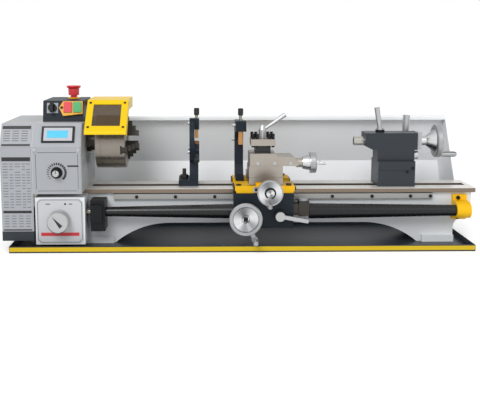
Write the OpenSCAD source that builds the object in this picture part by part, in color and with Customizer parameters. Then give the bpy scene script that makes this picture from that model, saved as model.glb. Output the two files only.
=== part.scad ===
// Bench metal lathe, in millimetres. +X runs to the tailstock, +Y to the back, +Z up.
// The origin is on the bench, at the tray's middle in X and under the spindle axis in Y.

/* [Chip tray] */
// Length of the chip tray
tray_len = 1056; // [1000:2:1100]
// From the spindle axis to the tray's front edge
tray_front = 150; // [146:1:165]
// From the spindle axis to the tray's back edge
tray_back = 150; // [146:1:170]
// Height of the tray's rim
tray_rim = 15; // [11:1:18]
// Thickness of the sheet metal
sheet_t = 1.5; // [1:0.1:2]

/* [Bed] */
// Height of the ways above the bench
way_z = 131; // [126:1:140]
// How far the bed's left end stands in from the headstock's left side
bed_inset = 5; // [1:1:15]
// From the tray's middle to the bed's right end
bed_right = 552; // [545:1:570]
// From the spindle axis to the front of the front way
bed_front = 61; // [58:0.5:62]
// From the spindle axis to the back of the rear way
bed_back = 58; // [54:0.5:64]
// Thickness of the ways' edge
way_t = 10; // [8:0.5:12]
// How far the ways stand out from the bed's side
way_lip = 9; // [7:0.5:10]
// Height of the arch between the feet
arch_h = 48; // [40:1:52]
// Radius at the arch's ends
arch_r = 200; // [150:5:220]
// Height of the rack under the front way
rack_h = 14; // [11:0.5:16]
// Pitch of the rack's teeth
rack_pitch = 4.7; // [4:0.1:6]

/* [Headstock] */
// Height of the spindle axis above the ways
centre_h = 105; // [100:1:108]
// From the tray's middle to the headstock's right side
head_x = 365; // [360:1:370]
// Width of the headstock
head_w = 110; // [104:1:112]
// From the spindle axis to the headstock's front
head_front = 125; // [122:1:128]
// From the spindle axis to the headstock's back
head_back = 125; // [122:1:140]
// Height of the headstock above the ways
head_h = 157; // [152:1:165]
// Height above the ways where the front folds back
fold_h = 107; // [100:1:112]
// How far the top front edge sets back from the front
slant = 30; // [24:1:36]
// Width of the end cover
cover_w = 72; // [66:1:80]
// Height of the end cover's lower edge above the bench
cover_z = 23; // [20:1:30]
// Height of the control box
box_h = 48; // [44:1:54]

/* [Chuck] */
// Diameter of the chuck
chuck_d = 125; // [110:1:130]
// Length of the chuck with its back plate
chuck_len = 70; // [64:1:74]
// Bore through the spindle
spindle_bore = 21; // [18:0.5:24]
// Width of the chuck guard
guard_w = 94; // [88:1:98]

/* [Carriage] */
// From the tray's middle to the saddle's middle
carriage_x = 52; // [40:1:60]
// Width of the saddle
saddle_w = 138; // [134:1:146]
// Width of the cross slide
slide_w = 78; // [72:1:82]
// Side of the tool post
post_w = 56; // [50:1:60]
// Diameter of the lead screw
screw_d = 16; // [14:0.5:18]
// Diameter of the carriage hand wheel
wheel_d = 76; // [70:1:84]

/* [Rests and tailstock] */
// From the tray's middle to the steady rest's column
steady_x = 108; // [100:1:120]
// From the tray's middle to the tailstock's left end
tail_x = 296; // [290:1:310]
// Length of the tailstock's body
tail_len = 124; // [118:1:128]
// Diameter of the quill
quill_d = 22; // [20:0.5:26]
// Diameter of the tailstock hand wheel
tail_wheel_d = 80; // [72:1:86]

/* [Hidden] */
$fn = 48;
// Radial clearance of a shaft that turns in its bore
run_fit = 0.05;
// Clearance between pieces that slide past each other
gap = 0.3;
// Levels and faces that several pieces share
spin_z = way_z + centre_h;
head_top = way_z + head_h;
fold_z = way_z + fold_h;
head_x1 = -head_x;
head_x0 = head_x1 - head_w;
cover_x0 = head_x0 - cover_w;
bed_x0 = head_x0 + bed_inset;
wall = 6;
panel_t = 2;
front_y = -head_front - panel_t;
fold_lean = atan(slant / (head_h - fold_h));
// Lead screw
screw_r = screw_d / 2;
screw_y = -bed_front - 24;
screw_z = 82;
screw_x0 = head_x0 - 40;
screw_x1 = bed_right - 24;
left_bracket_x = head_x1 + 16;
bracket_w = 33;
right_bracket_x = screw_x1 - 29;
cover_r = screw_r + 9;
// Spindle and chuck
spindle_r = 17.5;
bearing_r = 31;
bearing_w = 13;
nose_len = 24;
chuck_r = chuck_d / 2;
chuck_x = head_x1 + nose_len;
plate_len = 13;
chuck_face = chuck_x + chuck_len;
jaw_w = 14;
jaw_deep = 12;
jaw_in = 15;
jaw_turn = 193;
// Change gears
gear_m = 1.5;
gear_w = 10;
gear_x = head_x0 - 26;
spindle_teeth = 40;
idler_teeth = 84;
screw_teeth = 40;
screw_at = [screw_y, screw_z];
idler_at = meet([0, spin_z], gear_m * (spindle_teeth + idler_teeth) / 2,
    screw_at, gear_m * (idler_teeth + screw_teeth) / 2);
// Belt drive
motor_y = 70;
motor_z = way_z + 54;
pulley_x = head_x1 - 44;
pulley_w = 20;
spindle_pulley_r = 34;
motor_pulley_r = 15;
// Control box
box_x0 = head_x0 + 14;
box_x1 = head_x1 - 3;
box_y = -53;
box_deep = 149;
box_set = 12;
box_lean = atan(box_set / box_h);
box_top = head_top + box_h;
// Chuck guard
guard_x0 = head_x1 + 8;
guard_top = box_top + 2;
guard_rod_r = 5;
guard_t = 2;
guard_cheek = 24;
guard_path = [[80, guard_top], [-45, guard_top], [-130, guard_top - 66], [-130, guard_top - 72]];
guard_run = norm(guard_path[2] - guard_path[1]);
guard_lean = atan2(guard_path[1][1] - guard_path[2][1], guard_path[1][0] - guard_path[2][0]);
guard_rod = [72, guard_top - 14];
// Carriage
saddle_z = way_z + 11;
saddle_front = -95;
saddle_back = 78;
saddle_x0 = carriage_x - saddle_w / 2;
saddle_x1 = carriage_x + saddle_w / 2;
apron_front = -101;
apron_back = -bed_front - 4;
apron_z = 45;
slide_x = carriage_x + 3;
cross_z = saddle_z + 2;
compound_z = cross_z + 16;
top_z = compound_z + 27;
top_h = 29;
top_y = -45;
top_screw_z = top_z + 3;
top_screw_r = 5;
swivel_r = 24;
swivel_h = 4;
seam = 1;
post_z = top_z + top_h;
post_x = slide_x - 6;
post_core = 36;
wheel_x = carriage_x - 46;
wheel_z = 72;
cross_wheel_x = slide_x + 4;
cross_screw_r = 4;
cross_screw_z = way_z + 5.5;
lever_x = carriage_x + 34;
lever_z = 75;
dial_x = saddle_x1 + 10;
dial_w = 24;
rest_x = saddle_x0 + 5;
rest_w = 25;
// Steady rest
steady_x1 = -steady_x + 9;
steady_w = 23;
ring_w = 12;
knob_r = 6.4;
// Tailstock
tail_x1 = tail_x + tail_len;
tail_half = 28;
quill_r = quill_d / 2;
quill_x = tail_x - 24;
tail_base_x = tail_x + 29;
tail_base_len = tail_len - 36;
clamp_at = [tail_x + 111, 41, way_z + 52];
lock_x = tail_x + 39;

function unit(v) = v / norm(v);
function left_of(v) = [-v[1], v[0]];
// Where two circles meet, on the left of the way from a to b
function meet(a, ra, b, rb) =
    let (d = norm(b - a), u = (b - a) / d, s = (ra * ra - rb * rb + d * d) / (2 * d))
    a + u * s + left_of(u) * sqrt(ra * ra - s * s);
// One point of a path moved sideways by t
function beside(p, i, t) =
    let (n = len(p),
        a = unit(i > 0 ? p[i] - p[i - 1] : p[1] - p[0]),
        b = unit(i < n - 1 ? p[i + 1] - p[i] : p[n - 1] - p[n - 2]),
        m = unit(left_of(a) + left_of(b)))
    p[i] + m * t / (m * left_of(a));
// Outline of a sheet of thickness t that follows a path
function sheet_outline(p, t) = concat(p, [for (i = [len(p) - 1:-1:0]) beside(p, i, t)]);
// Corner b rounded with radius r
function round_corner(a, b, c, r, n) =
    let (u = unit(a - b), v = unit(c - b), half = acos(u * v) / 2,
        o = b + unit(u + v) * r / sin(half),
        s = b + u * r / tan(half) - o, e = b + v * r / tan(half) - o,
        a0 = atan2(s[1], s[0]), da = (atan2(e[1], e[0]) - a0 + 540) % 360 - 180)
    [for (k = [0:n]) o + r * [cos(a0 + da * k / n), sin(a0 + da * k / n)]];
// Path with its corners rounded as sheet metal bends
function bent(p, r) = [for (i = [0:len(p) - 1])
    each i == 0 || i == len(p) - 1 ? [p[i]] : round_corner(p[i - 1], p[i], p[i + 1], r, 4)];
// Outline of a spur gear with straight-flanked teeth and a little backlash
function gear_outline(z) = [for (i = [0:z - 1])
    each let (p = gear_m * z / 2, c = i * 360 / z, k = gear_m * 180 / PI)
    [for (q = [[-1.25, -1.12], [0, -0.68], [0.9, -0.34], [0.9, 0.34], [0, 0.68], [-1.25, 1.12]])
        (p + q[0] * gear_m) * [cos(c + q[1] * k / p), sin(c + q[1] * k / p)]]];
// Turn that sets a gap of a gear of z teeth against a tooth that stands e off the line at angle t
function mesh_turn(t, e, z_from, z) = t + 180 - e * z_from / z + 180 / z;
function heading(a, b) = atan2(b[1] - a[1], b[0] - a[0]);
idler_way = heading([0, spin_z], idler_at);
idler_turn = mesh_turn(idler_way, 0, spindle_teeth, idler_teeth);
screw_way = heading(idler_at, screw_at);
screw_turn = mesh_turn(screw_way, idler_turn - screw_way, idler_teeth, screw_teeth);

module along_x(x, l) translate([x, 0, 0]) rotate([90, 0, 90]) linear_extrude(l) children();
module along_y(y, l) translate([0, y + l, 0]) rotate([90, 0, 0]) linear_extrude(l) children();
module rod_x(x, l, r, y, z) translate([x, y, z]) rotate([0, 90, 0]) cylinder(h = l, r = r);
module rod_y(y, l, r, x, z) translate([x, y, z]) rotate([-90, 0, 0]) cylinder(h = l, r = r);
module rod_z(z, l, r, x, y) translate([x, y, z]) cylinder(h = l, r = r);
module block(x, y, z, s) translate([x, y, z]) cube(s);
// Frames that lie on the slanted faces: +Z runs up the face and -Y points out of it
module on_box() translate([0, box_y, head_top]) rotate([-box_lean, 0, 0]) children();
module on_guard() translate([0, guard_path[2][0], guard_path[2][1]]) rotate([guard_lean - 90, 0, 0])
    children();
// Section of the headstock and end cover, moved in by w, from level z
module head_section(z, w) {
    k = w * tan(fold_lean / 2);
    polygon([[-head_front + w, z], [-head_front + w, fold_z - k],
        [-head_front + slant + w / cos(fold_lean) - w * tan(fold_lean), head_top - w],
        [head_back - w, head_top - w], [head_back - w, z]]);
}
// Turned grip along +Z
module grip(l, r) rotate_extrude()
    polygon([[0, 0], [r * 0.7, 0], [r * 0.8, l * 0.15], [r, l * 0.6], [r * 0.95, l * 0.9],
        [r * 0.7, l], [0, l]]);
// Dished hand wheel that faces +Z, with its hub down to z = 0
module dish_wheel(r, hub_r, deep, rim, bore) rotate_extrude()
    polygon([[bore, 0], [hub_r, 0], [hub_r, deep * 0.3], [r - rim, deep - rim], [r - 2, deep - rim],
        [r, deep - rim + 2], [r, deep - 1.5], [r - 1.5, deep], [r - rim + 1, deep],
        [r - rim - 1, deep - 3], [hub_r, deep * 0.3 + 6], [hub_r - 3, deep * 0.3 + 9],
        [bore, deep * 0.3 + 9]]);
// Screw of a rest's finger, from the finger's end at z = 0 to its knurled knob
module rest_screw(neck) {
    cylinder(h = neck + 1, r = 3.5);
    translate([0, 0, neck]) cylinder(h = 1.5, r1 = 5, r2 = knob_r);
    translate([0, 0, neck + 1.5]) cylinder(h = 14, r = knob_r);
    translate([0, 0, neck + 15.5]) cylinder(h = 1.5, r1 = knob_r, r2 = knob_r - 1.2);
}

module chip_tray() color("#2a3038") difference() {
    block(-tray_len / 2, -tray_front, 0, [tray_len, tray_front + tray_back, tray_rim]);
    block(-tray_len / 2 + sheet_t, -tray_front + sheet_t, sheet_t,
        [tray_len - 2 * sheet_t, tray_front + tray_back - 2 * sheet_t, tray_rim]);
    for (x = hold_x, y = hold_y) rod_z(-1, sheet_t + 2, hold_r + 1, x, y);
}
hold_r = 4.25;
hold_x = [bed_x0 + 60, bed_right - 85];
hold_y = [-bed_front + 22, bed_back - 22];

// Arch between the feet, flat on top and round at both ends
arch_x0 = head_x1 + 196;
arch_x1 = bed_right - 262;
foot_h = 16;
module arch_shape() {
    low = arch_h - arch_r;
    w = arch_x1 - arch_x0;
    translate([arch_x0, -1]) square([w, arch_h + 1]);
    intersection() {
        translate([arch_x0 - arch_r, -1]) square([w + 2 * arch_r, arch_h + 1]);
        for (x = [arch_x0, arch_x1]) translate([x, low]) circle(arch_r, $fn = 96);
    }
}
module bed() color("#c5c8c8") difference() {
    union() {
        // Body below the ways
        along_x(bed_x0, bed_right - bed_x0 - 7) polygon([
            [-bed_front + way_lip, sheet_t], [-bed_front + way_lip, way_z - way_t - 1],
            [bed_back - way_lip, way_z - way_t - 1], [bed_back - way_lip, sheet_t]]);
        // Ground ways, with their edges chamfered
        along_x(bed_x0, bed_right - bed_x0) polygon([
            [-bed_front, way_z - way_t], [-bed_front, way_z - 1], [-bed_front + 1, way_z],
            [bed_back - 1, way_z], [bed_back, way_z - 1], [bed_back, way_z - way_t],
            [bed_back - way_lip, way_z - way_t - 3], [-bed_front + way_lip, way_z - way_t - 3]]);
        // Foot flanges
        for (f = [[bed_x0, 170], [bed_right - 123, 75]])
            block(f[0], -bed_front, sheet_t, [f[1], bed_front + bed_back, foot_h]);
    }
    along_y(-200, 400) arch_shape();
    // Undercut at the right end
    along_y(-200, 400) difference() {
        translate([bed_right - 48, -1]) square([60, 62]);
        translate([bed_right - 48, 33]) difference() {
            translate([-1, 0]) square([29, 30]);
            translate([28, 0]) circle(28);
        }
    }
    // Pockets between the ways, with cross ribs left standing
    for (x = [-head_x + 10:115:bed_right - 140])
        block(x, -20, arch_h + 12, [100, 32, way_z]);
    block(-head_x + 10, -20, way_z - 16, [head_x + bed_right - 22, 32, 20]);
    for (x = hold_x, y = hold_y) rod_z(0, 24, hold_r, x, y);
}

rack_x0 = -300;
rack_x1 = 455;
rack_z = way_z - way_t - 3 - rack_h;
rack_y = -bed_front + way_lip;
module rack() color("#8d8f90") {
    t = rack_pitch;
    n = floor((rack_x1 - rack_x0) / t);
    along_y(rack_y - 7, 7) polygon(concat(
        [[rack_x0 + n * t, rack_z + rack_h], [rack_x0, rack_z + rack_h]],
        [for (i = [0:n - 1]) each [[rack_x0 + i * t, rack_z + 3], [rack_x0 + (i + 0.25) * t, rack_z],
            [rack_x0 + (i + 0.5) * t, rack_z], [rack_x0 + (i + 0.75) * t, rack_z + 3]]],
        [[rack_x0 + n * t, rack_z + 3]]));
}

// Splash guard's profile: up from the tray, leaning back, then forward to its folded lip
splash_low = [tray_back, tray_rim + 3];
splash_knee = [tray_back + 63, way_z + 28];
splash_top = [tray_back + 22, way_z + 150];
splash_lip = tray_back + 10;
splash_lip_h = 9;
guard_profile = bent([splash_low - [0, 11], splash_low, splash_knee, splash_top,
    [splash_lip, splash_top[1]], [splash_lip, splash_top[1] - splash_lip_h]], 3);
module splash_guard() color("#c4c6c8") {
    x0 = head_x1 - 60;
    x1 = bed_right - 12;
    along_x(x0, x1 - x0) polygon(sheet_outline(guard_profile, -sheet_t));
    // Right wing, cut back along its front edge
    along_x(x1 - sheet_t, sheet_t) polygon([splash_low, splash_knee,
        splash_top - [0, 1], [splash_lip + 2, splash_top[1] - 1], [bed_back + 8, way_z + 2],
        [bed_back + 8, splash_low[1]]]);
}

module headstock() color("#c5c8c8") difference() {
    along_x(head_x0, head_w) head_section(way_z, 0);
    along_x(head_x0 + 12, head_w - 24) head_section(way_z + wall, wall);
    for (x = [head_x0 - 1, head_x1 - bearing_w]) rod_x(x, bearing_w + 1, bearing_r, 0, spin_z);
    // Hole for the speed control's shaft
    rod_y(-head_front - 1, wall + 2, 3.3, speed_x, speed_z);
}
speed_x = head_x0 + 55;
speed_z = way_z + 49;
module spindle_bearings() color("#9a9c9e") for (x = [head_x0, head_x1 - bearing_w])
    difference() {
        rod_x(x, bearing_w, bearing_r, 0, spin_z);
        rod_x(x - 1, bearing_w + 2, spindle_r + run_fit, 0, spin_z);
    }
panel_path = [[-head_front, way_z], [-head_front, fold_z], [-head_front + slant, head_top]];
module front_panel() color("#bec1c5") difference() {
    along_x(head_x0 + 1.5, head_w - 3) polygon(sheet_outline(panel_path, panel_t));
    rod_y(front_y - 1, panel_t + 2, 3.3, speed_x, speed_z);
}
gearbox_z = 13;
gearbox_h = way_z - gearbox_z - 9;
module gearbox() color("#cfd1d2") difference() {
    block(head_x0 + 3, -head_front + 5, gearbox_z, [head_w + 2, head_front - 5 - bed_front, gearbox_h]);
    rod_x(head_x0, head_w + 10, screw_r + gap, screw_y, screw_z);
    rod_y(-head_front, 24, 5 + run_fit, feed_x, feed_z);
}
feed_x = head_x0 + 57;
feed_z = gearbox_z + 55;
module end_cover() color("#2b333c") difference() {
    along_x(cover_x0, cover_w) head_section(cover_z, 0);
    along_x(cover_x0 + 3, cover_w) head_section(cover_z + 3, 3);
}
module control_box() color("#2b333c") difference() {
    w = box_x1 - box_x0;
    along_x(box_x0, w) polygon([[box_y, head_top], [box_y + box_set, box_top],
        [box_y + box_deep, box_top], [box_y + box_deep, head_top]]);
    along_x(box_x0 + 2, w - 4) polygon([[box_y + 2.1, head_top - 1], [box_y + box_set + 1.6, box_top - 2],
        [box_y + box_deep - 2, box_top - 2], [box_y + box_deep - 2, head_top - 1]]);
    on_box() {
        translate([selector_x, 5, selector_z]) rotate([90, 0, 0]) cylinder(h = 10, r = 4.3);
        for (x = button_x) translate([x - 7, -3, button_z + 4]) cube([14, 8, 16]);
    }
    rod_z(box_top - 5, 10, 8.3, stop_x, stop_y);
    rod_x(box_x1 - 5, 10, guard_rod_r + run_fit, guard_rod[0], guard_rod[1]);
}
selector_x = box_x0 + 22;
selector_z = 32;
button_z = 21;
switch_x = box_x0 + 38;
button_x = [switch_x + 20, switch_x + 42];
stop_x = box_x0 + 59;
stop_y = 45;
module switch_housing() color("#e8a91c") on_box() difference() {
    rotate([90, 0, 0]) linear_extrude(7) polygon([[switch_x, button_z + 11], [switch_x + 9, button_z + 26],
        [box_x1 - 1, button_z + 26], [box_x1 - 1, button_z - 3], [switch_x + 14, button_z - 8],
        [switch_x + 9, button_z - 8]]);
    for (x = button_x) translate([x - 9.6, -8, button_z - 0.3]) cube([19.2, 6, 24.2]);
    for (x = button_x) translate([x - 7, -3, button_z + 4]) cube([14, 8, 16]);
}
module push_button(x) on_box() {
    translate([x - 9.3, -10, button_z]) cube([18.6, 4.5, 23.6]);
    translate([x - 6.7, -6, button_z + 4.3]) cube([13.4, 9, 15.4]);
}
module stop_button() color("#d71e2d") push_button(button_x[0]);
module start_button() color("#28a055") push_button(button_x[1]);
module selector_knob() color("#17191c") on_box() translate([selector_x, -2.2, selector_z]) rotate([90, 0, 0]) {
    cylinder(h = 5, r = 10);
    translate([-3.5, -11, 4]) cube([7, 22, 12]);
    translate([0, 0, -10]) cylinder(h = 11, r = 4);
}
module stop_mushroom() color("#d3202c") translate([stop_x, stop_y, box_top - 8]) rotate_extrude()
    polygon([[0, 0], [8, 0], [8, 15], [13, 16], [13.4, 32], [16.5, 34], [17.5, 36.5], [16, 39], [0, 40]]);
module speed_knob() color("#1a1c1f") translate([speed_x, front_y - gap, speed_z]) rotate([90, 0, 0]) {
    cylinder(h = 3, r = 13);
    translate([0, 0, 3]) cylinder(h = 14, r1 = 11, r2 = 8);
    translate([0, 0, -12]) cylinder(h = 13, r = 3);
}
module feed_knob() color("#b9bcbf") translate([feed_x, -head_front + 5 - panel_t - gap, feed_z])
    rotate([90, 0, 0]) {
        cylinder(h = 3, r = 26);
        translate([0, 0, 3]) cylinder(h = 21, r = 24);
        translate([0, 0, 24]) cylinder(h = 2, r1 = 24, r2 = 22);
        translate([0, 0, -18]) cylinder(h = 19, r = 5);
    }

module motor() color("#3a3e42") {
    rod_x(head_x0 + 12, 42, 40, motor_y, motor_z);
    rod_x(head_x0 + 54, 4, 26, motor_y, motor_z);
}
module pulley(x, r, bore, y, z) difference() {
    union() {
        rod_x(x, pulley_w, r - 3, y, z);
        for (e = [0, pulley_w - 2]) rod_x(x + e, 2, r, y, z);
    }
    if (bore > 0) rod_x(x - 1, pulley_w + 2, bore, y, z);
}
module motor_pulley() color("#b4b6b8") {
    pulley(pulley_x, motor_pulley_r, 0, motor_y, motor_z);
    rod_x(head_x0 + 58 + gap, pulley_x - head_x0 - 57, 7, motor_y, motor_z);
}
// Loop round two circles of radius a and b, d apart
module loop_shape(a, b, d) {
    t = acos((a - b) / d);
    n = 24;
    polygon(concat([for (i = [0:n]) a * [cos(t + i * (360 - 2 * t) / n), sin(t + i * (360 - 2 * t) / n)]],
        [for (i = [0:n]) [d, 0] + b * [cos(i * 2 * t / n - t), sin(i * 2 * t / n - t)]]));
}
module drive_belt() color("#1b1b1c") translate([pulley_x + 2.5, 0, spin_z])
    rotate([heading([0, spin_z], [motor_y, motor_z]), 0, 0]) rotate([90, 0, 90]) linear_extrude(15)
        difference() {
            d = norm([motor_y, motor_z - spin_z]);
            loop_shape(spindle_pulley_r, motor_pulley_r, d);
            loop_shape(spindle_pulley_r - 3 + gap, motor_pulley_r - 3 + gap, d);
        }

module spur_gear(at, z, turn, bore) translate([gear_x, at[0], at[1]]) rotate([90, 0, 90])
    linear_extrude(gear_w) difference() {
        rotate(turn) polygon(gear_outline(z));
        if (bore > 0) circle(bore);
    }
module idler_gear() color("#8f9294") spur_gear(idler_at, idler_teeth, idler_turn, 6 + run_fit);
// Arm that holds the idler's stud, bolted to the headstock's side
module gear_quadrant() color("#55595c") {
    rod_x(gear_x - 2, head_x0 - gear_x + 2, 6, idler_at[0], idler_at[1]);
    along_x(head_x0 - 8, 8) translate(idler_at) {
        circle(14);
        rotate(-idler_way) translate([0, -10]) square([70, 20]);
    }
}

module spindle() color("#6a6660") difference() {
    union() {
        rod_x(gear_x - 6, chuck_x - gear_x + 6, spindle_r, 0, spin_z);
        rod_x(head_x1 + gap, 8, 24, 0, spin_z);
        rod_x(head_x1 + 8, nose_len - 8, 21, 0, spin_z);
        pulley(pulley_x, spindle_pulley_r, 0, 0, spin_z);
        spur_gear([0, spin_z], spindle_teeth, idler_way, 0);
    }
    rod_x(gear_x - 7, chuck_x - gear_x + 8, spindle_bore / 2, 0, spin_z);
}
module chuck_plate() color("#8c877f") difference() {
    union() {
        rod_x(chuck_x, plate_len - 1, chuck_r, 0, spin_z);
        rod_x(chuck_x + plate_len - 1, 1, chuck_r - 2, 0, spin_z);
    }
    rod_x(chuck_x - 1, plate_len + 2, spindle_bore / 2, 0, spin_z);
}
module chuck_body() color("#a29c93") difference() {
    x = chuck_x + plate_len;
    l = chuck_len - plate_len;
    union() {
        rod_x(x, l - 2, chuck_r, 0, spin_z);
        translate([x + l - 2, 0, spin_z]) rotate([0, 90, 0]) cylinder(h = 2, r1 = chuck_r, r2 = chuck_r - 2);
    }
    rod_x(x - 1, l + 2, spindle_bore / 2 + 3, 0, spin_z);
    for (a = [0:120:240]) translate([0, 0, spin_z]) rotate([jaw_turn + a, 0, 0]) {
        translate([chuck_face - jaw_deep, 0, -jaw_w / 2 - gap]) cube([jaw_deep + 1, chuck_r + 9, jaw_w + 2 * gap]);
        translate([chuck_face - jaw_deep, 0, -jaw_w / 2 - 3]) cube([5, chuck_r + 9, jaw_w + 6]);
    }
    // Sockets for the chuck key, between the jaws
    for (a = [60:120:300]) translate([x + l / 2 - 4, 0, spin_z]) rotate([jaw_turn + a, 0, 0])
        translate([0, chuck_r - 18, -4]) cube([9, 20, 9]);
}
module chuck_jaw(a) color("#5d5a55") translate([0, 0, spin_z]) rotate([jaw_turn + a, 0, 0]) {
    x = chuck_face;
    r = jaw_in;
    translate([0, 0, -jaw_w / 2]) linear_extrude(jaw_w) polygon([[x - jaw_deep + gap, r],
        [x + 28, r], [x + 28, r + 11], [x + 20, r + 11], [x + 20, r + 22], [x + 12, r + 22],
        [x + 12, r + 34], [x + 4, r + 34], [x + 4, r + 44], [x - jaw_deep + gap, r + 44]]);
    translate([x - jaw_deep + gap, r, -jaw_w / 2 - 2.7]) cube([4.4, 44, jaw_w + 5.4]);
}

module chuck_guard() color("#fddc05") {
    difference() {
        along_x(guard_x0, guard_w) polygon(sheet_outline(bent(guard_path, 5), guard_t));
        on_guard() translate([guard_x0 + 15, -8, guard_run - 88]) cube([guard_w - 30, 16, 73]);
    }
    // Cheek at the right end
    along_x(guard_x0 + guard_w - guard_t, guard_t) polygon(sheet_outline(guard_path, guard_cheek));
    // Pivot rod in the control box's side, and the two lugs that hold it
    rod_x(box_x1 - 6, guard_x0 + guard_w - box_x1, guard_rod_r, guard_rod[0], guard_rod[1]);
    for (x = [guard_x0 + 6, guard_x0 + guard_w - 24]) block(x, guard_rod[0] - 7, guard_rod[1] - 7,
        [14, 14, guard_top - guard_t - guard_rod[1] + 8]);
}
module guard_window() color("#7a5a2c") on_guard()
    translate([guard_x0 + 8, guard_t, guard_run - 95]) cube([guard_w - 16, 3, 83]);

module left_bracket() color("#1d2024") difference() {
    union() {
        block(left_bracket_x, screw_y - 20, 40, [bracket_w, rack_y - screw_y + 20, 71]);
        block(left_bracket_x, screw_y - 26, screw_z - 20, [bracket_w - 6, 10, 40]);
    }
    rod_x(left_bracket_x - 1, bracket_w + 2, screw_r + run_fit, screw_y, screw_z);
}
module right_bracket() color("#fac314") difference() {
    union() {
        block(right_bracket_x, -bed_front, 56, [bracket_w, way_lip, 59]);
        rod_x(right_bracket_x, bracket_w, 18, screw_y, screw_z);
        block(right_bracket_x, screw_y, 66, [bracket_w, -bed_front - screw_y + 1, 36]);
    }
    rod_x(right_bracket_x - 1, bracket_w + 2, screw_r + run_fit, screw_y, screw_z);
}
module lead_screw() color("#8d8a85") {
    rod_x(screw_x0, screw_x1 - screw_x0 + 4, screw_r, screw_y, screw_z);
    spur_gear(screw_at, screw_teeth, screw_turn, 0);
}
// Telescopic spiral cover from x0 to x1, its overlapping turns stepping from radius r0 to r1
module spiral_cover(x0, x1, r0, r1) translate([x0, screw_y, screw_z]) rotate([0, 90, 0])
    rotate_extrude() {
        n = 14;
        l = (x1 - x0) / n;
        b = screw_r + 0.6;
        polygon(concat([[b, 0]], [for (i = [0:n - 1]) each let (r = r0 + (r1 - r0) * i / (n - 1))
            [[r, i * l], [r, (i + 1) * l]]], [[b, n * l]]));
    }
module spring_cover_left() color("#17181a")
    spiral_cover(left_bracket_x + bracket_w + 0.5, saddle_x0 - 4, cover_r - 6, cover_r);
module spring_cover_right() color("#17181a")
    spiral_cover(dial_x + dial_w + 0.5, right_bracket_x - 0.5, cover_r + 1, cover_r - 4);

module saddle() color("#f0be0a") difference() {
    union() {
        block(saddle_x0, saddle_front, way_z, [saddle_w, -saddle_front - 22, saddle_z - way_z]);
        block(saddle_x0, 24, way_z, [saddle_w, saddle_back - 24, saddle_z - way_z]);
        block(slide_x - slide_w / 2, saddle_front, way_z, [slide_w, saddle_back - saddle_front, saddle_z - way_z]);
        block(saddle_x0 + 3, saddle_front, way_z - 5, [saddle_w - 6, -bed_front - saddle_front - 1, 6]);
        // Dovetail under the cross slide
        along_y(saddle_front + 12, saddle_back - saddle_front - 12) polygon([[slide_x - 22, saddle_z - 1],
            [slide_x - 26, cross_z + 6], [slide_x + 26, cross_z + 6], [slide_x + 22, saddle_z - 1]]);
        rod_y(saddle_front - 26, 30, 7, cross_wheel_x, cross_screw_z);
    }
    rod_y(saddle_front - 30, saddle_back - saddle_front, cross_screw_r + gap, cross_wheel_x, cross_screw_z);
}
module apron() color("#2b333c") difference() {
    union() {
        block(saddle_x0 - 3, apron_front, apron_z, [saddle_w, apron_back - apron_front, way_z - 5 - apron_z]);
        rod_y(apron_front - 16, 17, 14, wheel_x, wheel_z);
        rod_y(apron_front - 6, 7, 13, lever_x, lever_z);
    }
    rod_x(saddle_x0 - 10, saddle_w + 20, screw_r + 0.4, screw_y, screw_z);
    rod_y(apron_front - 17, 22, 6 + run_fit, wheel_x, wheel_z);
    rod_y(apron_front - 7, 12, 6 + run_fit, lever_x, lever_z);
}
module carriage_wheel() color("#c8c8c8") {
    translate([wheel_x, apron_front - 16 - gap, wheel_z]) rotate([90, 0, 0]) {
        dish_wheel(wheel_d / 2, 10, 22, 9, 0);
        translate([0, 0, -21]) cylinder(h = 22, r = 6);
        rotate(-66) translate([wheel_d / 2 + 11, 0, 12]) {
            cylinder(h = 12, r = 7);
            translate([-17, -5, 1]) cube([17, 10, 8]);
            translate([0, 0, 12]) grip(42, 6.5);
        }
    }
}
module half_nut_lever() color("#b9bbbd") translate([lever_x, apron_front - 6 - gap, lever_z]) rotate([90, 0, 0]) {
    cylinder(h = 14, r = 11);
    translate([0, 0, -11]) cylinder(h = 12, r = 6);
    rotate(-10) translate([0, -4.5, 4]) cube([66, 9, 7]);
}
module dial_block() color("#6f6a62") difference() {
    union() {
        block(dial_x, apron_front + 2, screw_z - 10, [dial_w, 34, 34]);
        block(saddle_x1 - 3, apron_front + 6, screw_z - 8, [dial_x - saddle_x1 + 4, 26, 26]);
    }
    rod_x(saddle_x1 - 5, 60, screw_r + 0.4, screw_y, screw_z);
    rod_z(screw_z + 14, 12, 3 + run_fit, dial_x + dial_w / 2, apron_front + 19);
}
module thread_dial() color("#d9dadb") {
    rod_z(screw_z + 24 + gap, 5, 10, dial_x + dial_w / 2, apron_front + 19);
    rod_z(screw_z + 15, 10, 3, dial_x + dial_w / 2, apron_front + 19);
}

// Follow rest: a C-shaped casting that stands on the saddle's left wing
module follow_rest() color("#262d36") difference() {
    union() {
        along_x(rest_x, rest_w - 5) polygon([[-18, saddle_z], [50, saddle_z], [52, saddle_z + 20],
            [60, spin_z - 30], [60, spin_z + 20], [48, spin_z + 48], [-16, spin_z + 48], [-16, spin_z + 24],
            [22, spin_z + 20], [30, spin_z], [24, saddle_z + 34], [10, saddle_z + 12], [-18, saddle_z + 10]]);
        block(rest_x, -17, spin_z + 24, [rest_w, 34, 25]);
    }
    translate([rest_x + 12, 0, 0]) block(-5.3, -5.3, spin_z + 10, [10.6, 10.6, 32]);
    translate([rest_x + 12, 0, spin_z]) block(-5.3, 20, -5.3, [10.6, 34, 10.6]);
    rod_z(spin_z + 40, 10, 3.5 + run_fit, rest_x + 12, 0);
    rod_y(52, 10, 3.5 + run_fit, rest_x + 12, spin_z);
}

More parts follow.
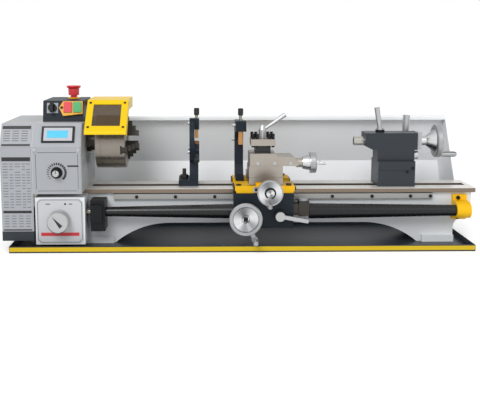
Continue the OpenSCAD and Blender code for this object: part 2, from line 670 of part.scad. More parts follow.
// A bronze finger and the knob of its screw
module follow_finger_1() color("#be8c5a") {
    block(rest_x + 7, -5, spin_z - 8, [10, 10, 42]);
    translate([rest_x + 12, 0, spin_z + 34]) rest_screw(27.5);
}
module follow_finger_2() color("#be8c5a") {
    block(rest_x + 7, 8, spin_z - 5, [10, 38, 10]);
    translate([rest_x + 12, 46, spin_z]) rotate([-90, 0, 0]) rest_screw(18.5);
}
module cross_slide() color("#aaa298") difference() {
    block(slide_x - slide_w / 2, -86, cross_z, [slide_w, 142, compound_z - cross_z]);
    along_y(-90, 160) polygon([[slide_x - 22.3, cross_z - 3.6], [slide_x - 26.4, cross_z + 6.4],
        [slide_x + 26.4, cross_z + 6.4], [slide_x + 22.3, cross_z - 3.6]]);
    rod_z(compound_z - swivel_h - gap, swivel_h + 1, swivel_r + run_fit, slide_x, top_y);
}
module cross_wheel() color("#c8c8c8") translate([cross_wheel_x, saddle_front - 26 - gap, cross_screw_z])
    rotate([90, 0, 0]) {
        cylinder(h = 26, r = 16);
        translate([0, 0, 26]) cylinder(h = 11, r = 29);
        translate([0, 0, 36]) cylinder(h = 7, r = 9);
        translate([0, 0, -130]) cylinder(h = 131, r = cross_screw_r);
        rotate(-98) translate([24, 0, 36]) {
            cylinder(h = 6, r = 7);
            translate([-14, -5, 0]) cube([14, 10, 5]);
            translate([0, 0, 5]) grip(38, 6);
        }
    }
module compound_base() color("#aaa298") difference() {
    union() {
        block(slide_x - slide_w / 2, top_y - 39, compound_z + seam, [slide_w, 78, top_z - compound_z - 2 * seam]);
        block(slide_x - slide_w / 2 + seam, top_y - 39 + seam, compound_z,
            [slide_w - 2 * seam, 78 - 2 * seam, top_z - compound_z]);
        rod_z(compound_z - swivel_h, swivel_h + 1, swivel_r, slide_x, top_y);
    }
    // Groove for the top slide's screw
    rod_x(slide_x - 20, slide_w, top_screw_r + gap, top_y, top_screw_z);
}
module top_slide() color("#aaa298") difference() {
    x0 = slide_x - slide_w / 2 + 2;
    union() {
        along_y(top_y - 37, 74) polygon([[x0, top_z], [x0, top_z + top_h], [x0 + 59, top_z + top_h],
            [x0 + 65, top_z + top_h - 8], [x0 + 100, top_z + top_h - 8], [x0 + 112, top_z + top_h - 18],
            [x0 + 112, top_z]]);
        rod_x(x0 + 111, 14, 11, top_y, top_screw_z);
        // Stud that the tool post turns on
        rod_z(post_z - 1, 41, 6, post_x, top_y);
    }
    rod_x(x0 + 50, 80, top_screw_r + run_fit, top_y, top_screw_z);
}
module top_wheel() color("#cfd0d0") translate([slide_x - slide_w / 2 + 127 + gap, top_y, top_screw_z])
    rotate([0, 90, 0]) {
        translate([0, 0, -60]) cylinder(h = 61, r = top_screw_r);
        cylinder(h = 12, r1 = 14, r2 = 17);
        translate([0, 0, 12]) cylinder(h = 6, r = 17);
        translate([0, 0, 18]) cylinder(h = 12, r = 24.5);
        translate([0, 0, 30]) cylinder(h = 2, r1 = 24.5, r2 = 23);
        for (a = [90, 270]) rotate(a) translate([15, 0, 31]) grip(a == 90 ? 16 : 24, 3.2);
    }
module tool_post() color("#a9a6a0") translate([post_x, top_y, post_z]) difference() {
    h = post_w / 2;
    union() {
        translate([-h, -h, 17]) cube([post_w, post_w, 15]);
        translate([-post_core / 2, -post_core / 2, 0]) cube([post_core, post_core, 20]);
    }
    translate([0, 0, -1]) cylinder(h = 40, r = 6 + run_fit);
}
module clamp_lever() color("#c9cacb") translate([post_x, top_y, post_z + 32 + gap]) {
    difference() {
        union() {
            cylinder(h = 20, r = 9);
            translate([0, 0, 20]) cylinder(h = 10, r1 = 9, r2 = 4);
        }
        translate([0, 0, -1]) cylinder(h = 10, r = 6 + run_fit);
    }
    translate([3, 0, 20]) rotate([0, 55, 0]) {
        cylinder(h = 24, r1 = 3.4, r2 = 3.8);
        translate([0, 0, 20]) cylinder(h = 40, r1 = 4, r2 = 5.6);
        translate([0, 0, 60]) cylinder(h = 1.5, r1 = 5.6, r2 = 4.4);
    }
}

// Steady rest: a ring on a column, with three bronze fingers at thirds of a turn
module steady_rest() color("#262d36") difference() {
    union() {
        block(steady_x1 - 49, -26, way_z, [47, 78, 14]);
        along_x(steady_x1 - steady_w, steady_w - 2) polygon([[-24, way_z], [-24, way_z + 30],
            [-18, spin_z - 46], [18, spin_z - 46], [48, way_z + 30], [48, way_z]]);
        along_x(steady_x1 - steady_w, ring_w) translate([0, spin_z]) circle(52, $fn = 72);
        for (a = [90, 210, 330]) translate([steady_x1 - steady_w, 0, spin_z]) rotate([a, 0, 0])
            translate([0, 29, -13]) cube([steady_w, 26, 26]);
    }
    rod_x(steady_x1 - 30, 40, 29.5, 0, spin_z);
    for (a = [90, 210, 330]) translate([steady_x1 - 6, 0, spin_z]) rotate([a, 0, 0]) {
        translate([-4.3, 20, -5.3]) cube([8.6, 31, 10.6]);
        rotate([-90, 0, 0]) cylinder(h = 60, r = 3.5 + run_fit);
    }
}
module steady_finger(a) color("#be8c5a") translate([steady_x1 - 6, 0, spin_z]) rotate([a, 0, 0]) {
    translate([-4, 8, -5]) cube([8, 36, 10]);
    translate([0, 44, 0]) rotate([-90, 0, 0]) rest_screw(18.5);
}

module tailstock() color("#262d36") difference() {
    b = tail_base_x;
    union() {
        along_y(-tail_half, 2 * tail_half) polygon([[tail_x, spin_z - 10], [tail_x, spin_z + 21],
            [tail_x1, spin_z + 21], [tail_x1, spin_z - 19], [tail_x + 18, spin_z - 19]]);
        block(b, -tail_half, way_z, [tail_base_len, 2 * tail_half, centre_h]);
        block(b, -tail_half - 12, way_z, [tail_base_len, 2 * tail_half + 24, 60]);
        block(tail_x1 - 1, -22, spin_z - 19, [12, 44, 41]);
    }
    rod_x(tail_x - 1, tail_len + 1, quill_r + run_fit, 0, spin_z);
    rod_x(tail_x1 - 1, 13, 6 + run_fit, 0, spin_z);
    rod_y(clamp_at[1] - 20, 22, 6 + run_fit, clamp_at[0], clamp_at[2]);
    rod_z(spin_z + 13, 10, 6 + run_fit, lock_x, 0);
    // Seam between the base and the set-over top
    for (s = [-1, 1]) block(b - 1, s * (tail_half + 12) - 1, way_z + 38, [tail_base_len + 2, 2, 1.2]);
}
module quill() color("#b9b5ae") difference() {
    rod_x(quill_x, tail_len + 6, quill_r, 0, spin_z);
    translate([quill_x - 0.1, 0, spin_z]) rotate([0, 90, 0]) cylinder(h = 50, r1 = quill_r - 3, r2 = quill_r - 4.5);
    rod_x(quill_x + 60, tail_len, 5 + gap, 0, spin_z);
}
module tail_wheel() color("#c8c8c8") translate([tail_x1 + 11 + gap, 0, spin_z]) rotate([0, 90, 0]) {
    dish_wheel(tail_wheel_d / 2, 11, 48, 13, 0);
    translate([0, 0, -13]) cylinder(h = 14, r = 6);
    translate([0, 0, -82]) cylinder(h = 72, r = 5);
    translate([tail_wheel_d / 2 - 7, 0, 46]) grip(44, 7);
}
module lock_lever() color("#c9cacb") translate([lock_x, 0, spin_z + 21 + gap]) {
    cylinder(h = 10, r = 8.5);
    translate([0, 0, -8]) cylinder(h = 9, r = 6);
    translate([0, 0, 4]) rotate([0, -9, 0]) cylinder(h = 56, r1 = 5.5, r2 = 6.5);
}
module bed_clamp_lever() color("#c9cacb") translate([clamp_at[0], clamp_at[1] + gap - 1, clamp_at[2]]) {
    rotate([-90, 0, 0]) cylinder(h = 17, r = 12);
    rotate([90, 0, 0]) translate([0, 0, -1]) cylinder(h = 19, r = 6);
    translate([0, 9, 8]) rotate([0, 2, 0]) {
        cylinder(h = 60, r = 5);
        translate([0, 0, 58]) cylinder(h = 45, r = 8.5);
    }
}

chip_tray();
bed();
rack();
splash_guard();
headstock();
spindle_bearings();
front_panel();
gearbox();
end_cover();
control_box();
switch_housing();
motor();
drive_belt();
gear_quadrant();
left_bracket();
right_bracket();
stop_button();
start_button();
selector_knob();
stop_mushroom();
speed_knob();
feed_knob();
motor_pulley();
idler_gear();
spindle();
chuck_plate();
chuck_body();
chuck_jaw(0);  // chuck_jaw_1
chuck_jaw(120);  // chuck_jaw_2
chuck_jaw(240);  // chuck_jaw_3
chuck_guard();
guard_window();
lead_screw();
spring_cover_left();
spring_cover_right();
saddle();
apron();
dial_block();
thread_dial();
follow_rest();
follow_finger_1();
follow_finger_2();
carriage_wheel();
half_nut_lever();
cross_slide();
cross_wheel();
compound_base();
top_slide();
top_wheel();
tool_post();
clamp_lever();
steady_rest();
steady_finger(90);  // steady_finger_1
steady_finger(210);  // steady_finger_2
steady_finger(330);  // steady_finger_3
tailstock();
quill();
tail_wheel();
lock_lever();
bed_clamp_lever();
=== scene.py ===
import math

import bmesh
import bpy
from bpy.props import FloatProperty, FloatVectorProperty, IntProperty, PointerProperty
from mathutils import Matrix, Vector


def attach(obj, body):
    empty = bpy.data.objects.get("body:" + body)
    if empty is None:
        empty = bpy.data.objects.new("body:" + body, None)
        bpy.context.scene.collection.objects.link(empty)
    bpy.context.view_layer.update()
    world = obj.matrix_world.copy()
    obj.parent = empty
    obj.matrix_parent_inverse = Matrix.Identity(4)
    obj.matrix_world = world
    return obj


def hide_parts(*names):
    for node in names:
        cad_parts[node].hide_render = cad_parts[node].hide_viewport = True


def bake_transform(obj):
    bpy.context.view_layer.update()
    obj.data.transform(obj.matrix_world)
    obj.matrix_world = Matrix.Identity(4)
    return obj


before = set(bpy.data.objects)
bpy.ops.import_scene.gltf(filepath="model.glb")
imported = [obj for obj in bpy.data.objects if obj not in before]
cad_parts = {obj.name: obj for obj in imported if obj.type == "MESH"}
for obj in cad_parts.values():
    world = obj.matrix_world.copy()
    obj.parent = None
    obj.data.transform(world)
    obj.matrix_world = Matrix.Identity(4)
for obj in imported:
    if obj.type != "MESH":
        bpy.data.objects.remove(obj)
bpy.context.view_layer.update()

bl_info = {
    "name": "Bench lathe looks",
    "version": (1, 0, 0),
    "blender": (4, 2, 0),
    "location": "3D View > Sidebar > Lathe",
    "description": "Materials, trim, stage and camera for the bench lathe",
    "category": "Object",
}

MM = 0.001
MATERIALS = {}
STILL = Matrix.Identity(4)
X, Y, Z = 0, 1, 2


def span(name, axis):
    """Where a solid starts and ends along an axis, in millimetres."""
    values = [vert.co[axis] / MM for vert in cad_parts[name].data.vertices]
    return min(values), max(values)


def front_of(name):
    """The front of a solid: its lowest y, in millimetres."""
    return round(span(name, Y)[0], 1)


def top_of(name):
    """The top of a solid: its highest z, in millimetres."""
    return round(span(name, Z)[1], 1)


def middle_of(name, axis):
    """The middle of a solid along an axis, in millimetres."""
    return round(sum(span(name, axis)) / 2, 1)


def on_slope(y, z, rise, back):
    """A frame on a slanted face that starts at y and z: +Z runs up the face and -Y points out of it."""
    return Matrix.Translation((0, y, z)) @ Matrix.Rotation(-math.atan2(back, rise), 4, "X")


# Axes and faces of the solids that the trim sits on, in millimetres
AXIS_Z = middle_of("chuck_body", Z)
LEAD_Y = middle_of("lead_screw", Y)
LEAD_Z = middle_of("lead_screw", Z)
COVER_Y = front_of("end_cover")
PANEL_Y = front_of("front_panel")
GEARBOX_Y = front_of("gearbox")
TRAY_Y = front_of("chip_tray")
RACK_Y = front_of("rack")
FLANGE_Y = -61
SADDLE_Y = -95
SADDLE_Z = 142
BOX_TOP_Z = top_of("control_box")
SPEED_X = middle_of("speed_knob", X)
SPEED_Z = middle_of("speed_knob", Z)
FEED_X = middle_of("feed_knob", X)
FEED_Z = middle_of("feed_knob", Z)
SELECTOR_X = middle_of("selector_knob", X)
STOP_X = middle_of("stop_mushroom", X)
STOP_Y = middle_of("stop_mushroom", Y)

# Centres of the hand wheels: x and z of those in front, y and z of the one at the side
CARRIAGE_WHEEL = (6, 72)
CROSS_WHEEL = (59, 136.5)
TOP_WHEEL = (-45, 190)

# Heights and places where one solid changes its finish
WAY_TOP_Z = top_of("bed") - 0.8
WAY_EDGE_Z = top_of("bed") - 11.5
COVER_FOOT_Z = 45
TAIL_BLOCK_X = 420.3
# Below this height the tool post's core is painted near black as painted shade
POST_PLATE_Z = 232.9

# Slanted faces: the height where each starts, and how far it runs back
FOLD_Z = 238
BOX_FOOT_Z = top_of("headstock")
GUARD_FOLD_Z = 272
ON_PANEL = on_slope(COVER_Y, FOLD_Z, top_of("end_cover") - FOLD_Z, back=30)
ON_BOX = on_slope(front_of("control_box"), BOX_FOOT_Z, BOX_TOP_Z - BOX_FOOT_Z, back=12)
ON_GUARD = on_slope(front_of("chuck_guard"), GUARD_FOLD_Z, top_of("chuck_guard") - GUARD_FOLD_Z, back=85)

# Directions for screw heads
FORWARD = (0, -1, 0)
UP = (0, 0, 1)

# Camera in metres and degrees, matched to the photograph's viewing angle
CAMERA_AT = (-0.1084, -2.0, 0.4681)
CAMERA_TILT = 81.546
CAMERA_YAW = -1.096
LENS = 63.0
SENSOR = 36.0
LENS_SHIFT = (0.06, -0.0875)

# Strength of the floor's own light, and of the surround as a light and where it is seen
FLOOR_GLOW = 0.3
SURROUND_LIGHT = 0.55
SURROUND_SEEN = 1.0


def linear(text):
    """Linear RGBA of an sRGB hex colour."""
    values = [int(text[i:i + 2], 16) / 255 for i in (1, 3, 5)]
    return (*[v / 12.92 if v <= 0.04045 else ((v + 0.055) / 1.055) ** 2.4 for v in values], 1.0)


def shade(colour, amount):
    """A colour made lighter or darker, with an alpha of 1."""
    return (*[min(1.0, c * amount) for c in colour[:3]], 1.0)


def add(tree, kind, inputs, out=0, **settings):
    """Adds a node, sets its settings, sets or links its inputs, and gives one of its outputs."""
    made = tree.nodes.new("ShaderNode" + kind)
    for key, value in settings.items():
        setattr(made, key, value)
    for key, value in inputs.items():
        if isinstance(value, bpy.types.NodeSocket):
            tree.links.new(value, made.inputs[key])
        else:
            made.inputs[key].default_value = value
    return made.outputs[out] if made.outputs else None


def new_material(name):
    """An empty material's nodes, and the coordinates on its object in metres."""
    made = bpy.data.materials.new(name)
    made.use_nodes = True
    made.node_tree.nodes.clear()
    MATERIALS[name] = made
    return made.node_tree, add(made.node_tree, "TexCoord", {}, "Object")


def grain(tree, where, size_mm, detail=2.0, stretch=(1, 1, 1)):
    """Noise whose features are about size_mm across, drawn out along the axes by stretch."""
    scaled = add(tree, "Mapping", {"Vector": where, "Scale": [1 / s for s in stretch]})
    return add(tree, "TexNoise", {"Vector": scaled, "Scale": 1 / (size_mm * MM), "Detail": detail}, "Fac")


def past(tree, where, axis, limit):
    """1 where a coordinate is past a limit in millimetres, 0 elsewhere."""
    split = add(tree, "SeparateXYZ", {0: where}, axis)
    return add(tree, "Math", {0: split, 1: limit * MM}, operation="GREATER_THAN")


def distance(tree, where, centre, keep):
    """Distance from an axis through a centre in millimetres; keep is 0 along the axis and 1 across it."""
    moved = add(tree, "VectorMath", {0: where, 1: [c * MM for c in centre]}, operation="SUBTRACT")
    across = add(tree, "VectorMath", {0: moved, 1: keep}, operation="MULTIPLY")
    return add(tree, "VectorMath", {0: across}, "Value", operation="LENGTH")


def seen_rays(tree):
    """1 for rays from the camera, a mirror or glass, 0 for those that light the object."""
    path = add(tree, "LightPath", {}).node.outputs
    mirror, glass = path["Is Glossy Ray"], path["Is Transmission Ray"]
    through = add(tree, "Math", {0: mirror, 1: glass}, operation="MAXIMUM")
    return add(tree, "Math", {0: path["Is Camera Ray"], 1: through}, operation="MAXIMUM")


def surface(tree, colour, rough, metal, bump=None, depth=0.0, **more):
    """Ends a material: one principled surface, with an optional bump of depth in millimetres."""
    inputs = {"Base Color": colour, "Roughness": rough, "Metallic": metal, **more}
    if bump is not None:
        inputs["Normal"] = add(tree, "Bump", {"Height": bump, "Distance": depth * MM, "Strength": 1.0})
    add(tree, "OutputMaterial", {"Surface": add(tree, "BsdfPrincipled", inputs)})


def speckled(name, colour, vary, size, rough, metal, depth, stretch=(1, 1, 1), coat=0.0, sheen=0.5):
    """A material whose colour, roughness and relief vary with one grain, over a slow drift of colour."""
    tree, where = new_material(name)
    fine = grain(tree, where, size, 3.0, stretch)
    broad = grain(tree, where, 120.0)
    tone = add(tree, "Mix", {0: fine, 6: shade(colour, 1 - vary), 7: shade(colour, 1 + vary)}, 2,
               data_type="RGBA")
    drift = add(tree, "MapRange", {0: broad, 1: 0.3, 2: 0.7, 3: 0.0, 4: 0.12})
    tone = add(tree, "Mix", {0: drift, 6: tone, 7: shade(colour, 0.8)}, 2, data_type="RGBA")
    polish = add(tree, "MapRange", {0: fine, 1: 0.3, 2: 0.7, 3: rough - 0.05, 4: rough + 0.07})
    # A low sheen keeps dark paints and yellows deep under the white surround
    surface(tree, tone, polish, metal, fine, depth, **{"Coat Weight": coat, "Specular IOR Level": sheen})


class LatheColours(bpy.types.PropertyGroup):
    """Colours of the lathe's main finishes"""
    grey: FloatVectorProperty(name="Grey paint", description="Bed, headstock and gearbox",
                              subtype="COLOR", size=3, default=linear("#BDC0C2")[:3])
    charcoal: FloatVectorProperty(name="Charcoal paint", description="Cover, apron, rests and tailstock",
                                  subtype="COLOR", size=3, default=linear("#19222B")[:3])
    yellow: FloatVectorProperty(name="Guard yellow", description="Chuck guard",
                                subtype="COLOR", size=3, default=linear("#F3CB04")[:3])
    amber: FloatVectorProperty(name="Saddle amber", description="Saddle and right bracket",
                               subtype="COLOR", size=3, default=linear("#F2BC0A")[:3])
    steel: FloatVectorProperty(name="Machined steel", description="Slides and tool post",
                               subtype="COLOR", size=3, default=linear("#A69F96")[:3])


class LatheSizes(bpy.types.PropertyGroup):
    """Sizes of the lathe's trim"""
    screw_r: FloatProperty(name="Screw head", description="Radius of the small screw heads",
                           default=0.004, min=0.002, max=0.006, unit="LENGTH")
    strip_h: FloatProperty(name="Tray strip", description="Height of the strip on the tray's front",
                           default=0.0099, min=0.004, max=0.011, unit="LENGTH")
    cover_turns: IntProperty(name="Cover turns", description="Turns in each telescopic spiral cover",
                             default=26, min=8, max=40)


def box(low, high, turn=STILL):
    """A box between two corners, its edges rounded a little."""
    low, high = Vector(low), Vector(high)

    def build(mesh):
        made = bmesh.ops.create_cube(mesh, size=1.0)["verts"]
        move = Matrix.Translation((low + high) / 2) @ Matrix.Diagonal((*(high - low), 1.0))
        bmesh.ops.transform(mesh, matrix=turn @ move, verts=made)
        edges = {edge for vert in made for edge in vert.link_edges}
        rounding = min(0.35, min(high - low) * 0.2)
        bmesh.ops.bevel(mesh, geom=list(edges), offset=rounding, segments=2, affect="EDGES",
                        clamp_overlap=True)
    return build


def mark(depths, low, high, turn=STILL):
    """A flat mark on a face: depths are its two y values, low and high its corners in x and z."""
    return box((low[0], depths[0], low[1]), (high[0], depths[1], high[1]), turn)


def turned(profile, start, end, count=40, closed=False, turn=STILL):
    """A turned form: pairs of radius and height, swept round the line from start to end."""
    axis = (Vector(end) - Vector(start)).normalized()
    to_axis = turn @ Matrix.Translation(start) @ axis.to_track_quat("Z", "Y").to_matrix().to_4x4()
    angles = [2 * math.pi * i / count for i in range(count)]

    def build(mesh):
        rings = [[mesh.verts.new(to_axis @ Vector((r * math.cos(a), r * math.sin(a), h))) for a in angles]
                 for r, h in profile]
        for one, two in zip(rings, rings[1:] + (rings[:1] if closed else [])):
            for i in range(count):
                j = (i + 1) % count
                mesh.faces.new((one[i], one[j], two[j], two[i]))
        if not closed:
            mesh.faces.new(list(reversed(rings[0])))
            mesh.faces.new(rings[-1])
    return build


def plate(outline, low, high, turn=STILL):
    """A plate from an outline in x and z, between two y values."""
    def build(mesh):
        front, back = [[mesh.verts.new(turn @ Vector((x, y, z))) for x, z in outline] for y in (low, high)]
        mesh.faces.new(front)
        mesh.faces.new(list(reversed(back)))
        for i in range(len(outline)):
            j = (i + 1) % len(outline)
            mesh.faces.new((front[j], front[i], back[i], back[j]))
    return build


def rod(r, start, end, count=32, edge=0.4, turn=STILL):
    """Turned pin with small chamfers."""
    length = (Vector(end) - Vector(start)).length
    profile = [(r - edge, 0), (r, edge), (r, length - edge), (r - edge, length)]
    return turned(profile, start, end, count, turn=turn)


def ring(outer, inner, start, end):
    """Tube between two radii, with a small chamfer outside."""
    length = (Vector(end) - Vector(start)).length
    edge = 0.3
    profile = [(inner, 0), (outer - edge, 0), (outer, edge), (outer, length - edge), (outer - edge, length),
               (inner, length)]
    return turned(profile, start, end, 48, closed=True)


def hex_bolt(at, axis, r, h):
    """Hexagon head with a chamfered top."""
    return turned([(r, 0), (r, h * 0.85), (r * 0.84, h)], at, Vector(at) + Vector(axis) * h, 6)


def cap_screw(at, axis, r, h):
    """Cap screw with a socket."""
    socket = r * 0.55
    edge = 0.5
    profile = [(r, 0), (r, h - edge), (r - edge, h), (socket, h), (socket, h * 0.35)]
    return turned(profile, at, Vector(at) + Vector(axis) * h, 24)


def show(name, data, material, smooth):
    """Puts a mesh in the scene with its material."""
    made = bpy.data.objects.new(name, data)
    bpy.context.scene.collection.objects.link(made)
    data.materials.append(MATERIALS[material])
    if smooth:
        data.shade_smooth()
        data.set_sharp_from_angle(angle=math.radians(35))
    return made


def make_piece(name, parts, material, body, smooth=True):
    """One mesh piece from simple parts in millimetres, riding on a body."""
    mesh = bmesh.new()
    for build in parts:
        build(mesh)
    bmesh.ops.recalc_face_normals(mesh, faces=mesh.faces)
    bmesh.ops.scale(mesh, vec=(MM, MM, MM), verts=mesh.verts)
    data = bpy.data.meshes.new(name)
    mesh.to_mesh(data)
    mesh.free()
    made = show(name, data, material, smooth)
    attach(made, body)


def bed_casting(grey):
    """Bed: bright ground way tops, brownish machined edges and hammered paint below."""
    tree, where = new_material("bed_casting")
    # Grinding streaks, drawn coarser than they are so that they show
    streak = grain(tree, where, 0.5, 3.0, (40, 1, 1))
    hammer = grain(tree, where, 2.2, 3.0)
    is_edge = past(tree, where, Z, WAY_EDGE_Z)
    is_top = past(tree, where, Z, WAY_TOP_Z)
    paint = add(tree, "Mix", {0: hammer, 6: shade(grey, 1.4), 7: shade(grey, 1.5)}, 2, data_type="RGBA")
    edge = add(tree, "Mix", {0: streak, 6: linear("#6F6358"), 7: linear("#8E8072")}, 2, data_type="RGBA")
    top = add(tree, "Mix", {0: streak, 6: linear("#DCD9D3"), 7: linear("#F0EEEA")}, 2, data_type="RGBA")
    tone = add(tree, "Mix", {0: is_edge, 6: paint, 7: edge}, 2, data_type="RGBA")
    tone = add(tree, "Mix", {0: is_top, 6: tone, 7: top}, 2, data_type="RGBA")
    painted = add(tree, "Math", {0: 1.0, 1: is_edge}, operation="SUBTRACT")
    relief = add(tree, "Math", {0: hammer, 1: painted}, operation="MULTIPLY")
    rough = add(tree, "Math", {0: is_edge, 1: -0.1, 2: 0.44}, operation="MULTIPLY_ADD")
    metal = add(tree, "Math", {0: is_top, 1: -0.6, 2: is_edge}, operation="MULTIPLY_ADD")
    surface(tree, tone, rough, metal, relief, 0.25)


def finger_bronze(name, screw_from, knob_from):
    """Rest finger: scratched bronze, a bright screw and a black knurled knob, by distance from the axis."""
    tree, where = new_material(name)
    away = distance(tree, where, (0, 0, AXIS_Z), (0, 1, 1))
    is_screw = add(tree, "Math", {0: away, 1: screw_from * MM}, operation="GREATER_THAN")
    is_knob = add(tree, "Math", {0: away, 1: knob_from * MM}, operation="GREATER_THAN")
    scratch = grain(tree, where, 0.8, 3.0)
    tone = add(tree, "Mix", {0: scratch, 6: linear("#A97845"), 7: linear("#CF9C66")}, 2, data_type="RGBA")
    tone = add(tree, "Mix", {0: is_screw, 6: tone, 7: linear("#9A978F")}, 2, data_type="RGBA")
    tone = add(tree, "Mix", {0: is_knob, 6: tone, 7: linear("#1B1D20")}, 2, data_type="RGBA")
    metal = add(tree, "Math", {0: is_knob, 1: -0.75, 2: 1.0}, operation="MULTIPLY_ADD")
    knurl = add(tree, "TexVoronoi", {"Vector": where, "Scale": 1 / (1.4 * MM)})
    relief = add(tree, "Math", {0: knurl, 1: is_knob}, operation="MULTIPLY")
    surface(tree, tone, 0.42, metal, relief, 0.5)


def two_enamels(name, axis, limit, low, high):
    """Cast iron in two coats of satin enamel that meet at a straight line."""
    tree, where = new_material(name)
    fine = grain(tree, where, 2.0, 3.0)
    is_high = past(tree, where, axis, limit)
    one = add(tree, "Mix", {0: fine, 6: shade(low, 0.9), 7: shade(low, 1.1)}, 2, data_type="RGBA")
    two = add(tree, "Mix", {0: fine, 6: shade(high, 0.8), 7: shade(high, 0.9)}, 2, data_type="RGBA")
    tone = add(tree, "Mix", {0: is_high, 6: one, 7: two}, 2, data_type="RGBA")
    polish = add(tree, "MapRange", {0: fine, 1: 0.3, 2: 0.7, 3: 0.4, 4: 0.5})
    surface(tree, tone, polish, 0.0, fine, 0.2)


def tool_post_steel(steel):
    """Tool post: a ground steel top plate over a core painted near black as painted shade under the plate.
    """
    tree, where = new_material("tool_post_steel")
    # Grinding streaks, drawn coarser than they are so that they show
    streak = grain(tree, where, 0.5, 3.0, (40, 1, 1))
    plate_over_painted_shade = past(tree, where, Z, POST_PLATE_Z)
    ground = add(tree, "Mix", {0: streak, 6: shade(steel, 0.9), 7: shade(steel, 1.1)}, 2, data_type="RGBA")
    # Painted shade: below the top plate the core gets a near-black colour for the shade under the plate
    tone = add(tree, "Mix", {0: plate_over_painted_shade, 6: linear("#15171A"), 7: ground}, 2, data_type="RGBA")
    surface(tree, tone, 0.34, plate_over_painted_shade, streak, 0.02)


def wheel_metal(name, centre, turn, rim):
    """Hand wheel: a matt grey rim, and a turned face with a painted highlight that fans out from the centre.
    """
    tree, where = new_material(name)
    moved = add(tree, "VectorMath", {0: where, 1: [c * MM for c in centre]}, operation="SUBTRACT")
    faced = add(tree, "VectorRotate", {"Vector": moved, "Rotation": (0, 0, math.radians(turn))},
                rotation_type="EULER_XYZ")
    split = add(tree, "SeparateXYZ", {0: faced}).node.outputs
    # Painted highlight: a sine of twice the angle round the centre lightens and darkens the face in place of
    # a reflection
    angle = add(tree, "Math", {0: split[Z], 1: split[X]}, operation="ARCTAN2")
    twice = add(tree, "Math", {0: angle, 1: 2.0, 2: 0.9}, operation="MULTIPLY_ADD")
    painted_highlight_fan = add(tree, "Math", {0: twice}, operation="SINE")
    away = distance(tree, faced, (0, 0, 0), (1, 0, 1))
    is_rim = add(tree, "Math", {0: away, 1: rim * MM}, operation="GREATER_THAN")
    # Turning marks, drawn coarser than they are so that they show
    marks = grain(tree, add(tree, "CombineXYZ", {0: away}), 0.6)
    bright = add(tree, "MapRange", {0: painted_highlight_fan, 1: -1.0, 2: 1.0, 3: 0.0, 4: 1.0})
    face = add(tree, "Mix", {0: bright, 6: linear("#77797B"), 7: linear("#D6D7D8")}, 2, data_type="RGBA")
    tone = add(tree, "Mix", {0: is_rim, 6: face, 7: linear("#A2A4A6")}, 2, data_type="RGBA")
    polish = add(tree, "Mix", {0: is_rim, 2: 0.24, 3: 0.42})
    surface(tree, tone, polish, 1.0, marks, 0.02)


